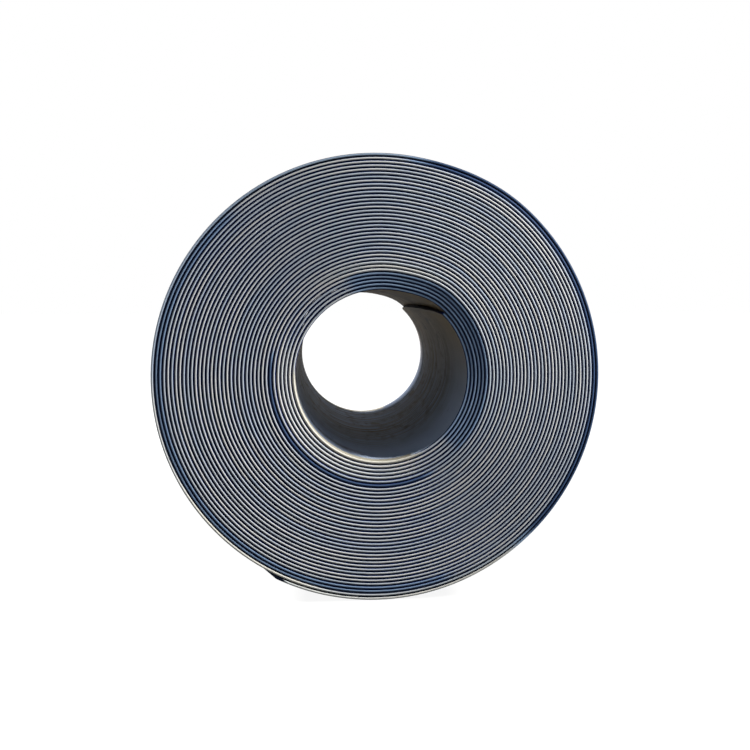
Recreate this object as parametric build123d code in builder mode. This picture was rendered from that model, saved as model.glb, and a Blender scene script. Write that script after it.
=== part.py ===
"""Coil of hot-rolled strip steel, lying on its side with its eye level.

The strip was wound on a mandrel and nothing joins its wraps, so the coil is one piece. Its wraps show on
the two ends; between them they lie on each other and are solid here. The front end faces -Y, the eye runs
along Y, and the origin is on the axis of the eye at the middle of the strip's width. Angles are counted
from +X towards +Z, as seen from the front, and wraps from 0 at the eye.
"""

import os
from math import cos, radians, sin

from build123d import *

# The strip, with the two edges that the mill left rounded
strip_width = 1500.0
strip_thickness = 14.0
edge_rounding = 3.0
edge_depth = 9.0

# The winding: from its head in the eye the strip runs outwards clockwise, seen from the front
eye_diameter = 762.0
whole_wraps = 37
wrap_gap = 2.25  # air left between two wraps by scale, camber and spring
head_angle = 45.0
tail_angle = 246.0

# Every wrap passes over the strip's head, so between these angles it climbs on to the one inside it
climb_start_angle = 80.0
climb_end_angle = 50.0

# The wraps hang looser below the eye, so the outermost is centred this far from it
sag_x = -17.0
sag_z = -21.5

# Of the gaps on the ends, one in this many stands open; both the first and the last do
open_gap_step = 4

wrap_pitch = strip_thickness + wrap_gap
eye_radius = eye_diameter / 2
half_width = strip_width / 2
last_whole_wrap = whole_wraps - 1
part_wrap = whole_wraps


def inner_radius(wrap):
    """Radius of a wrap's inner face."""
    return eye_radius + wrap * wrap_pitch


def outer_radius(wrap):
    """Radius of a wrap's outer face."""
    return inner_radius(wrap) + strip_thickness


def centre(wrap):
    """Centre of a wrap, which drifts from the eye's axis as the wraps sag."""
    return (sag_x * wrap / part_wrap, sag_z * wrap / part_wrap)


def on_wrap(wrap, radius, angle):
    """Point on the end of the coil, by its radius and angle round a wrap's centre."""
    centre_x, centre_z = centre(wrap)
    return (
        centre_x + radius * cos(radians(angle)),
        centre_z + radius * sin(radians(angle)),
    )


def clockwise(angle):
    """Direction in which the strip runs outwards at an angle."""
    return (sin(radians(angle)), -cos(radians(angle)))


with BuildPart() as steel_coil:
    # The wound strip seen on its end, then as wide as the strip
    with BuildSketch(Plane.XZ):
        # Outside: the part wrap from the tail to its climb, and the last whole wrap for the rest
        with BuildLine():
            CenterArc(
                centre(part_wrap),
                outer_radius(part_wrap),
                tail_angle,
                360 + climb_end_angle - tail_angle,
            )
            TangentArc(
                on_wrap(last_whole_wrap, outer_radius(last_whole_wrap), climb_start_angle),
                on_wrap(part_wrap, outer_radius(part_wrap), climb_end_angle),
                tangent=clockwise(climb_start_angle),
            )
            CenterArc(
                centre(last_whole_wrap),
                outer_radius(last_whole_wrap),
                climb_start_angle,
                tail_angle - climb_start_angle,
            )
            Line(
                on_wrap(last_whole_wrap, outer_radius(last_whole_wrap), tail_angle),
                on_wrap(part_wrap, outer_radius(part_wrap), tail_angle),
            )
        make_face()

        # Eye: the first wrap, and the wedge where the second one climbs over the head
        with BuildLine():
            CenterArc((0, 0), eye_radius, climb_start_angle, 360 + head_angle - climb_start_angle)
            Line(on_wrap(0, eye_radius, head_angle), on_wrap(1, inner_radius(1), head_angle))
            TangentArc(
                on_wrap(0, eye_radius, climb_start_angle),
                on_wrap(1, inner_radius(1), head_angle),
                tangent=clockwise(climb_start_angle),
            )
        make_face(mode=Mode.SUBTRACT)
    extrude(amount=half_width, both=True)

    # The open gaps: between two rounded edges, a groove runs round both ends
    for wrap in range(1, part_wrap + 1, open_gap_step):
        centre_x, centre_z = centre(wrap)
        groove_radius = inner_radius(wrap) - wrap_gap / 2
        half_groove = wrap_gap / 2 + edge_rounding
        with BuildSketch(Plane((centre_x, 0, centre_z))):
            for end in (-half_width, half_width):
                bottom = end - edge_depth if end > 0 else end + edge_depth
                with BuildLine():
                    Polyline(
                        (groove_radius - half_groove, end),
                        (groove_radius + half_groove, end),
                        (groove_radius, bottom),
                        close=True,
                    )
                make_face()
        revolve(axis=Axis((centre_x, 0, centre_z), (0, 1, 0)), mode=Mode.SUBTRACT)

steel_coil.part.label = "steel_coil"
os.makedirs("parts", exist_ok=True)
export_step(steel_coil.part, "parts/steel_coil.step")
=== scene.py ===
from math import cos, pi, radians, sin, sqrt

import bmesh
import bpy
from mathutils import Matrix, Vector


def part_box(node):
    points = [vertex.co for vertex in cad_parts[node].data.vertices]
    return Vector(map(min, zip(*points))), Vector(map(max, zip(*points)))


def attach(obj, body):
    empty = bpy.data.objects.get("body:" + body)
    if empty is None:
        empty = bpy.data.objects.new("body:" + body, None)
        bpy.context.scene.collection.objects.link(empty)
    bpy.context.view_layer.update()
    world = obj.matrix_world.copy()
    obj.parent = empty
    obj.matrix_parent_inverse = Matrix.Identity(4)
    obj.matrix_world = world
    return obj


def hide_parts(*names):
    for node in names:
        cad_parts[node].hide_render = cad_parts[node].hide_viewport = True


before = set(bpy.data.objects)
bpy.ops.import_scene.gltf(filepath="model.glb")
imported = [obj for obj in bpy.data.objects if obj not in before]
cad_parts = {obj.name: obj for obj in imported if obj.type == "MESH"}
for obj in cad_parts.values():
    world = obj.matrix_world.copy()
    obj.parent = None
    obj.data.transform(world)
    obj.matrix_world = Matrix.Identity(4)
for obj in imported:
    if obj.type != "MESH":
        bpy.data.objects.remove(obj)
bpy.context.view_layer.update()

# The strip. It is hot-rolled steel 14 mm thick, sold as it leaves the mill: both wide faces carry blue-grey
# scale, and its two long edges are the mill's own, pressed round by the rolls and never slit. It is made
# here as in the mill, as one flat strip with its edges rounded.
strip_thickness = 0.014
edge_rounding = 0.0066
edge_round_steps = 4
station_length = 0.0345  # the strip is bent at stations this far apart

coil_low, coil_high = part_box("steel_coil")
coil_width = coil_high.y - coil_low.y
stagger_room = 0.024  # part of the coil's width in which the wraps' edges lie in and out of line
strip_width = coil_width - stagger_room

# The winding. From its head in the eye the strip runs outwards clockwise, seen from the front, and every
# wrap climbs on to the one inside it where it passes over the head. The wraps hang looser below the eye,
# so their centres drift from its axis.
eye_radius = 0.381
wrap_gap = 0.00225
wrap_pitch = strip_thickness + wrap_gap
head_angle = radians(45)
tail_angle = radians(246)
climb_start = radians(80)
climb_end = radians(50)
part_wrap = 37
sag = Vector((-0.017, 0.0, -0.0215))
full_turn = 2 * pi
strip_turn = head_angle - tail_angle + (part_wrap + 1) * full_turn


def length_to(turned):
    """Length of strip wound by the time it has turned so far, in radians."""
    return (eye_radius + strip_thickness / 2) * turned + wrap_pitch * turned**2 / (2 * full_turn)


def turned_at(length):
    """How far the strip has turned after a length of it, in radians."""
    start = (eye_radius + strip_thickness / 2) * full_turn / wrap_pitch
    return sqrt(start**2 + 2 * full_turn * length / wrap_pitch) - start


def ease(share):
    """A share from 0 to 1 with a soft start and end."""
    share = min(1.0, max(0.0, share))
    return share * share * (3 - 2 * share)


def wrap_at(turned):
    """Number of the wrap, from 0 at the eye, with the part of the climb on to the next one."""
    since_climb = turned + climb_end - head_angle
    climb = climb_start - climb_end
    whole = int(since_climb // full_turn)
    left = full_turn - since_climb % full_turn
    return whole + ease((climb - left) / climb)


def between(points, place):
    """Value at a place among (place, value) points, with an eased step from each point to the next."""
    for (start, low), (end, high) in zip(points, points[1:]):
        if place <= end:
            return low + (high - low) * ease((place - start) / (end - start))
    return points[-1][1]


# How far the edge on the front end lies behind the proudest one, by turns from the head
out_of_line = [
    (0.0, 0.0152),
    (1.0, 0.0130),
    (2.0, 0.0108),
    (3.0, 0.0086),
    (4.0, 0.0064),
    (5.0, 0.0042),
    (5.6, 0.0020),
    (33.90, 0.0020),
    (34.90, 0.0031),
    (35.90, 0.0042),
    (36.10, 0.0042),
    (36.40, 0.0010),
    (36.75, 0.0010),
    (36.90, 0.0050),
    (37.25, 0.0050),
    (37.35, 0.0010),
    (37.45, 0.0010),
]

# The edges also wander a little, in two slow waves: how far each reaches, its radians in a turn of the
# strip, and where it starts
wander_waves = [(0.0003, 2.1, 0.4), (0.0002, 5.3, 1.7)]


def stagger_at(turned):
    """How far the strip is shifted back at a place along it, in metres."""
    turns = turned / full_turn
    wander = sum(reach * sin(rate * turns + start) for reach, rate, start in wander_waves)
    return between(out_of_line, turns) + wander


# Head and tail. The mill's shear cuts neither square, so both end in a blunt tongue: it is longest at the
# middle of the strip's width, and the head's springs a little way into the eye.
head_tongue = 0.048
tail_tongue = 0.45
tongue_root = 1.2  # length of strip over which each tongue is drawn out
tongue_cuts = 15  # lines along each tongue that let its end curve
head_spring = 0.008
spring_root = 0.15  # length of strip that the head springs in


def bow_at(across):
    """Shape of a tongue's end: 1 at the middle of the strip's width, and 0 at both of its edges."""
    return sqrt(max(0.0, 1 - (2 * across / strip_width) ** 2))


def tongue_at(along, across):
    """How far a place on the strip is drawn along it by the tongues at its ends."""
    at_head = max(0.0, 1 - along / tongue_root)
    at_tail = max(0.0, 1 - (strip_length - along) / tongue_root)
    return bow_at(across) * (tail_tongue * at_tail - head_tongue * at_head)


# Runs of the strip whose edge is painted bluer: the first turn and the last of a run, how many wraps on end
# it returns on, and how blue it is. The first run, on the inner wraps right of and above the eye, is painted
# shade: the blue of the shadow that the proud wraps cast on these sunk wraps. The others are edges bluer
# than the rest.
blue_and_shaded_runs = [
    # painted shade on the sunk inner wraps by the eye
    (-0.20, 0.27, 6, 0.5),
    (6.28, 6.68, 1, 0.85),
    (11.3, 12.1, 1, 0.12),
    (16.5, 17.2, 1, 0.12),
    (22.4, 23.3, 1, 0.12),
    (28.6, 29.3, 1, 0.12),
    (34.30, 34.78, 2, 0.6),
    (35.88, 36.28, 2, 0.9),
    (36.60, 36.95, 1, 0.3),
]

# Runs whose edge is painted paler and wider than the rest, listed in the same way. The first two, on the
# inner wraps below and left of the eye, are painted light: the low light falling on these edges, and on the
# innermost wrap's wall beside its edge. The rest are rubbed wear.
worn_and_lit_runs = [
    # painted light on the inner wraps below and left of the eye
    (0.29, 0.65, 1, 1.8),
    (1.29, 1.70, 4, 0.4),
    (5.76, 5.98, 3, 0.3),
    (36.40, 36.57, 1, 0.7),
    (37.20, 37.60, 1, 0.5),
]
run_fade = 0.04  # part of a turn in which a run comes in, and goes out again


def run_at(runs, turned):
    """Strength of the run that a place along the strip lies in, or 0."""
    turns = turned / full_turn
    found = 0.0
    for first, last, wraps, strength in runs:
        for wrap in range(wraps):
            inside = min(turns - first - wrap, last + wrap - turns)
            found = max(found, strength * ease(inside / run_fade))
    return found


strip = bmesh.new()
strip_length = length_to(strip_turn)
bmesh.ops.create_cube(strip, size=1.0)
bmesh.ops.scale(strip, vec=(strip_length, strip_width, strip_thickness), verts=strip.verts)
bmesh.ops.translate(strip, vec=(strip_length / 2, 0, strip_thickness / 2), verts=strip.verts)


def runs_along(edge):
    """Whether an edge of the flat strip runs along it."""
    return abs(edge.verts[0].co.x - edge.verts[1].co.x) > strip_length / 2


bmesh.ops.bevel(
    strip,
    geom=[edge for edge in strip.edges if runs_along(edge)],
    offset=edge_rounding,
    offset_type="OFFSET",
    affect="EDGES",
    segments=edge_round_steps,
    profile=0.5,
    material=-1,
)

# Only the two sheared ends and the borders of the wide faces are sharp
for face in strip.faces:
    face.smooth = abs(face.normal.x) < 0.5
for edge in strip.edges:
    wide = [face for face in edge.link_faces if abs(face.normal.z) > 0.99]
    edge.smooth = not (runs_along(edge) and wide)
bmesh.ops.subdivide_edges(
    strip,
    edges=[edge for edge in strip.edges if runs_along(edge)],
    cuts=int(strip_length / station_length) - 1,
)


def crosses_tongue(edge):
    """Whether an edge crosses the whole strip within one of its tongues."""
    first, last = edge.verts
    from_end = min(first.co.x, strip_length - first.co.x)
    return from_end < tongue_root and abs(first.co.y - last.co.y) > strip_width / 2


bmesh.ops.subdivide_edges(
    strip,
    edges=[edge for edge in strip.edges if crosses_tongue(edge)],
    cuts=tongue_cuts,
)

# The flat strip is wound up, and each place on it keeps what its finish needs to know
flat_place = strip.verts.layers.float_vector.new("flat_place")
edge_crown = strip.verts.layers.float.new("edge_crown")
blue_edge_and_shade = strip.verts.layers.float.new("blue_edge_and_shade")
worn_and_lit_edge = strip.verts.layers.float.new("worn_and_lit_edge")
for corner in strip.verts:
    along, across, through = corner.co
    turned = turned_at(along + tongue_at(along, across))
    wrap = wrap_at(turned)
    corner[flat_place] = (along, across, through)
    corner[edge_crown] = max(0.0, abs(across) - strip_width / 2 + edge_rounding) / edge_rounding
    corner[blue_edge_and_shade] = run_at(blue_and_shaded_runs, turned)
    corner[worn_and_lit_edge] = run_at(worn_and_lit_runs, turned)
    angle = head_angle - turned
    spring = head_spring * bow_at(across) * max(0.0, 1 - along / spring_root) ** 2
    radius = eye_radius + wrap * wrap_pitch + through - spring
    centre = sag * wrap / part_wrap
    back = across + stagger_at(turned) - stagger_room / 2
    corner.co = centre + Vector((radius * cos(angle), back, radius * sin(angle)))

mesh = bpy.data.meshes.new("wound_strip")
strip.to_mesh(mesh)
strip.free()
wound_strip = bpy.data.objects.new("wound_strip", mesh)
bpy.context.scene.collection.objects.link(wound_strip)
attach(wound_strip, "root")
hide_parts("steel_coil")


# The strip's finish: mill scale, as rolled, with painted light and shade. Steel grows this skin of oxide as
# it leaves the hot mill. It is dull, and no mirror as bare steel would be: blue-grey, brown in patches,
# drawn out in streaks by the rolls. Guides rub the round edges paler along their crowns, and the pale crowns
# are a painted highlight too; the dark navy of the edges' sides is painted shade of the gaps between the
# wraps. Other painted light and shade is noted where it is made.
def paint(code):
    """Linear colour of an sRGB hex code."""
    shares = [int(code[start : start + 2], 16) / 255 for start in (1, 3, 5)]
    return (*[s / 12.92 if s <= 0.04045 else ((s + 0.055) / 1.055) ** 2.4 for s in shares], 1.0)


def add_node(tree, kind, inputs, **settings):
    """Adds a node. Each input is a value, an output, or a node whose first output is linked to it."""
    node = tree.nodes.new(kind)
    for name, value in settings.items():
        setattr(node, name, value)
    sockets = [socket for socket in node.inputs if socket.enabled]
    for name, value in inputs.items():
        socket = sockets[name] if isinstance(name, int) else next(s for s in sockets if s.name == name)
        if isinstance(value, bpy.types.Node):
            value = next(output for output in value.outputs if output.enabled)
        if isinstance(value, bpy.types.NodeSocket):
            tree.links.new(value, socket)
        else:
            socket.default_value = value
    return node


scale_and_painted_light = bpy.data.materials.new("mill_scale_and_painted_light")
scale_and_painted_light.use_nodes = True
tree = scale_and_painted_light.node_tree
tree.nodes.clear()

flat = add_node(tree, "ShaderNodeAttribute", {}, attribute_name="flat_place").outputs["Vector"]
flat_axes = add_node(tree, "ShaderNodeSeparateXYZ", {"Vector": flat}).outputs
from_middle = add_node(tree, "ShaderNodeMath", {0: flat_axes["Y"]}, operation="ABSOLUTE")
crown = add_node(tree, "ShaderNodeAttribute", {}, attribute_name="edge_crown").outputs["Fac"]
blue = add_node(tree, "ShaderNodeAttribute", {}, attribute_name="blue_edge_and_shade").outputs["Fac"]
wear_and_light = add_node(tree, "ShaderNodeAttribute", {}, attribute_name="worn_and_lit_edge").outputs["Fac"]
pale_edge_reach = 0.28  # how far down an edge's sides the pale paint goes, for wear and for painted light
crown_wear_and_light = add_node(
    tree,
    "ShaderNodeMath",
    {0: wear_and_light, 1: pale_edge_reach, 2: crown},
    operation="MULTIPLY_ADD",
)
place = add_node(tree, "ShaderNodeTexCoord", {}).outputs["Object"]
axes = add_node(tree, "ShaderNodeSeparateXYZ", {"Vector": place}).outputs

# X times Y is above 0 on the left of the eye by the front end, and on its right by the back end: there the
# two soft boxes shine into the eye, and the wall is painted darker
left_or_right = add_node(tree, "ShaderNodeMath", {0: axes["X"], 1: axes["Y"]}, operation="MULTIPLY")

# Marks on the flat strip, each with its size along and across it in millimetres. What lies on the edges only
# has no size across. Real streaks and scratches are a millimetre or two wide and the grain of the scale is
# finer, which is too fine to show on a coil 2 m across, so these are drawn as coarse as they need to show.
marks = {}
for name, along, across, detail in [
    ("patches", 450, 250, 4.0),
    ("streaks", 670, 14, 4.0),
    ("scuffs", 70, 160, 5.0),
    ("scratches", 90, 7, 2.0),
    ("grain", 12, 12, 3.0),
    ("long_tone", 2200, None, 2.0),
    ("short_tone", 330, None, 3.0),
    ("chips", 18, None, 2.0),
    ("rust", 200, None, 3.0),
]:
    scale = (1000 / along, 1000 / across if across else 0.0, 0.0)
    sized = add_node(tree, "ShaderNodeVectorMath", {0: flat, 1: scale}, operation="MULTIPLY")
    marks[name] = add_node(tree, "ShaderNodeTexNoise", {0: sized, "Scale": 1.0, "Detail": detail})

# How much of each layer shows: what it goes by, where it starts, and where it is full. Places are in metres.
shares = {}
for name, source, start, full in [
    ("patches", marks["patches"], 0.35, 0.65),
    ("streaks", marks["streaks"], 0.42, 0.60),
    ("scuffs", marks["scuffs"], 0.48, 0.72),
    ("scratches", marks["scratches"], 0.70, 0.76),
    ("long_tone", marks["long_tone"], 0.40, 0.60),
    ("short_tone", marks["short_tone"], 0.50, 0.70),
    ("chips", marks["chips"], 0.70, 0.74),
    ("rust", marks["rust"], 0.66, 0.74),
    ("low_down", axes["Z"], 0.25, -0.25),
    ("near_front", axes["Y"], -0.05, -0.60),
    ("lamp_side_of_wall", left_or_right, 0.02, 0.10),
    ("by_the_ends", from_middle, 0.54, 0.60),
    ("head_rub", flat_axes["X"], 0.035, 0.012),
    ("shaded_shear_cut", flat_axes["X"], 0.004, 0.0),
    ("in_eye", flat_axes["X"], length_to(1.3 * full_turn), length_to(1.1 * full_turn)),
    ("outer_wraps", flat_axes["X"], length_to(35.5 * full_turn), length_to(36.5 * full_turn)),
    ("edge_strip", from_middle, strip_width / 2 - 0.060, strip_width / 2 - 0.035),
    # full only where the innermost wrap is painted as lit
    ("sunlit_paint", wear_and_light, 0.8, 1.6),
    ("wear_and_light", wear_and_light, 0.0, 1.0),
    ("bluish", blue, 0.0, 0.5),
    ("dark_blue", blue, 0.5, 1.0),
    ("up_flank", crown, 0.40, 0.80),
    # pale crown: rubbed metal and a painted highlight
    ("rubbed_and_highlit", crown_wear_and_light, 0.79, 0.91),
    ("on_edge", crown, 0.02, 0.12),
]:
    shares[name] = add_node(
        tree,
        "ShaderNodeMapRange",
        {"Value": source, "From Min": start, "From Max": full},
        interpolation_type="SMOOTHSTEP",
    )
for name, first, second in [
    ("sunlit_strip_paint", "edge_strip", "sunlit_paint"),
    ("rusty", "rust", "outer_wraps"),
    ("shaded_where_lamps_fall", "lamp_side_of_wall", "by_the_ends"),
]:
    shares[name] = add_node(
        tree,
        "ShaderNodeMath",
        {0: shares[first], 1: shares[second]},
        operation="MULTIPLY",
    )

# Coats of colour: each has a ground, and layers that cover it by their shares
coats = {}
for name, ground, layers in [
    ("brown", "#735d40", [("patches", "#8a7759")]),
    ("blue_grey", "#8893a8", [("patches", "#9dacc4")]),
    # painted light: the eye's wall painted paler towards the front end, palest low down
    ("lit_near_front", "#7d6d52", [("low_down", "#b3c2d9")]),
    # painted shade: dark paint for the wall where the soft boxes light it near the ends
    ("end_wall_shade", "#544a3e", [("low_down", "#4f5868")]),
    (
        "eye_wall",
        "brown",
        [
            # low down, where it faces up, the wall is painted paler blue-grey: a painted sheen of light from
            # above
            ("low_down", "blue_grey"),
            ("streaks", "#655947"),
            ("scuffs", "#4b4033"),
            # painted light towards the front end of the eye
            ("near_front", "lit_near_front"),
            # painted shade where the lamps fall on the wall near the ends
            ("shaded_where_lamps_fall", "end_wall_shade"),
        ],
    ),
    (
        "wide_face",
        "#363c44",
        [
            ("patches", "#474e58"),
            ("streaks", "#333539"),
            ("scuffs", "#3d3b3a"),
            ("in_eye", "eye_wall"),
            ("scratches", "#2a2723"),
            # painted light: a lit band of wall beside the innermost edge
            ("sunlit_strip_paint", "#938d7b"),
            ("head_rub", "#7d6f5a"),
            # the head's sheared end face is painted near black: painted shade of the slit in front of it
            ("shaded_shear_cut", "#101116"),
        ],
    ),
    (
        "crown",
        "#d1dae1",
        [
            ("long_tone", "#f2f1eb"),
            ("short_tone", "#c2ced8"),
            # paler where worn, and painted light on the inner wraps below and left of the eye
            ("wear_and_light", "#d6d1c2"),
            # bluer crowns; on the inner wraps by the eye this is painted shade
            ("bluish", "#9db6d2"),
            ("dark_blue", "#344d74"),
            ("chips", "#f6f5ef"),
            ("rusty", "#8c5a3c"),
        ],
    ),
    # the edges' sides: dark navy, darkest down by the gap, is painted shade of the gaps between the wraps
    ("flank", "#0a1230", [("up_flank", "#1c3168"), ("outer_wraps", "#101a30")]),
    ("edge", "flank", [("rubbed_and_highlit", "crown")]),
    ("whole_strip", "wide_face", [("on_edge", "edge")]),
]:
    coat = coats.get(ground) or paint(ground)
    for share, colour in layers:
        coat = add_node(
            tree,
            "ShaderNodeMix",
            {"Factor": shares[share], "A": coat, "B": coats.get(colour) or paint(colour)},
            data_type="RGBA",
        )
    coats[name] = coat

dullness = add_node(
    tree,
    "ShaderNodeMapRange",
    {"Value": marks["streaks"], "From Min": 0.35, "From Max": 0.65, "To Min": 0.62, "To Max": 0.78},
)
pitting = add_node(
    tree,
    "ShaderNodeBump",
    {"Height": marks["grain"], "Strength": 0.4, "Distance": 0.0003},
)
surface = add_node(
    tree,
    "ShaderNodeBsdfPrincipled",
    {
        "Base Color": coats["whole_strip"],
        "Roughness": dullness,
        "Specular IOR Level": 0.1,
        "Normal": pitting,
    },
)
add_node(tree, "ShaderNodeOutputMaterial", {"Surface": surface})
wound_strip.data.materials.append(scale_and_painted_light)


# The floor. It is a plain pale floor of matt paint, and the coil lies on it with nothing under it. It shows
# white to the camera and in reflections, but throws little light back up on the coil.
floor_reach = 60.0
floor_mesh = bmesh.new()
bmesh.ops.create_grid(floor_mesh, x_segments=1, y_segments=1, size=floor_reach)
bmesh.ops.translate(floor_mesh, vec=(0, 0, coil_low.z), verts=floor_mesh.verts)
mesh = bpy.data.meshes.new("floor")
floor_mesh.to_mesh(mesh)
floor_mesh.free()
floor = bpy.data.objects.new("floor", mesh)
bpy.context.scene.collection.objects.link(floor)

floor_paint = bpy.data.materials.new("matt_floor_paint")
floor_paint.use_nodes = True
world = bpy.data.worlds.new("studio")
world.use_nodes = True
bpy.context.scene.world = world


def seen_ray(tree):
    """Empties a node tree, and gives 1 for a ray to the camera, a reflection or through glass, else 0."""
    tree.nodes.clear()
    rays = add_node(tree, "ShaderNodeLightPath", {}).outputs
    seen = rays["Is Camera Ray"]
    for ray in ("Is Glossy Ray", "Is Transmission Ray"):
        seen = add_node(tree, "ShaderNodeMath", {0: seen, 1: rays[ray]}, operation="MAXIMUM")
    return seen


tree = floor_paint.node_tree
seen = seen_ray(tree)
place = add_node(tree, "ShaderNodeTexCoord", {}).outputs["Object"]
from_coil = add_node(tree, "ShaderNodeVectorMath", {0: place}, operation="LENGTH")
shade_near = 1.5  # nearer to the coil's middle than this, the floor is a pale grey
shade_far = 5.0  # and further off than this it is white
whiteness = add_node(
    tree,
    "ShaderNodeMapRange",
    {"Value": from_coil, "From Min": shade_near, "From Max": shade_far, "To Min": 0.91, "To Max": 1.0},
)
glow = add_node(tree, "ShaderNodeMath", {0: seen, 1: whiteness}, operation="MULTIPLY")
painted = add_node(
    tree,
    "ShaderNodeBsdfPrincipled",
    {
        "Base Color": paint("#484846"),
        "Roughness": 0.9,
        "Specular IOR Level": 0.1,
        "Emission Color": paint("#ffffff"),
        "Emission Strength": glow,
    },
)
add_node(tree, "ShaderNodeOutputMaterial", {"Surface": painted})
floor.data.materials.append(floor_paint)

# The light. A white studio surrounds the coil, and a soft box falls on its front end at a low angle from the
# upper right, so that each round edge is bright on one side and dark on the other. A second one does the
# same to the back end.
tree = world.node_tree
studio_white = add_node(
    tree,
    "ShaderNodeMix",
    {"Factor": seen_ray(tree), "A": paint("#545c68"), "B": paint("#ffffff")},
    data_type="RGBA",
)
sky = add_node(tree, "ShaderNodeBackground", {"Color": studio_white, "Strength": 1.0})
add_node(tree, "ShaderNodeOutputWorld", {"Surface": sky})

lamp_distance = 12.0
lamp_size = 1.6
lamp_power = 3600
lamp_lift = radians(10)  # how far each stands out in front of the plane of its end
for name, side, direction in (("key", -1, radians(35)), ("key_behind", 1, radians(145))):
    lamp = bpy.data.lights.new(name, "AREA")
    lamp.size = lamp_size
    lamp.energy = lamp_power
    in_plane = Vector((cos(direction), 0.0, sin(direction)))
    towards = in_plane * cos(lamp_lift) + Vector((0.0, side * sin(lamp_lift), 0.0))
    soft_box = bpy.data.objects.new(name, lamp)
    soft_box.location = towards * lamp_distance
    soft_box.rotation_mode = "QUATERNION"
    soft_box.rotation_quaternion = towards.to_track_quat("Z", "Y")
    bpy.context.scene.collection.objects.link(soft_box)

# The camera stands in front of the coil, a little to the left and above the eye, and looks slightly down
camera_place = (-0.2787, -3.8758, 0.3404)
camera_yaw = radians(4.52)
camera_pitch = radians(-6.04)
camera_lens = 34.55
camera_data = bpy.data.cameras.new("camera")
camera_data.sensor_width = 36.0
camera_data.lens = camera_lens
camera = bpy.data.objects.new("camera", camera_data)
camera.location = camera_place
camera.rotation_euler = (pi / 2 + camera_pitch, 0.0, -camera_yaw)
bpy.context.scene.collection.objects.link(camera)
bpy.context.scene.camera = camera
bpy.context.scene.view_settings.view_transform = "Standard"
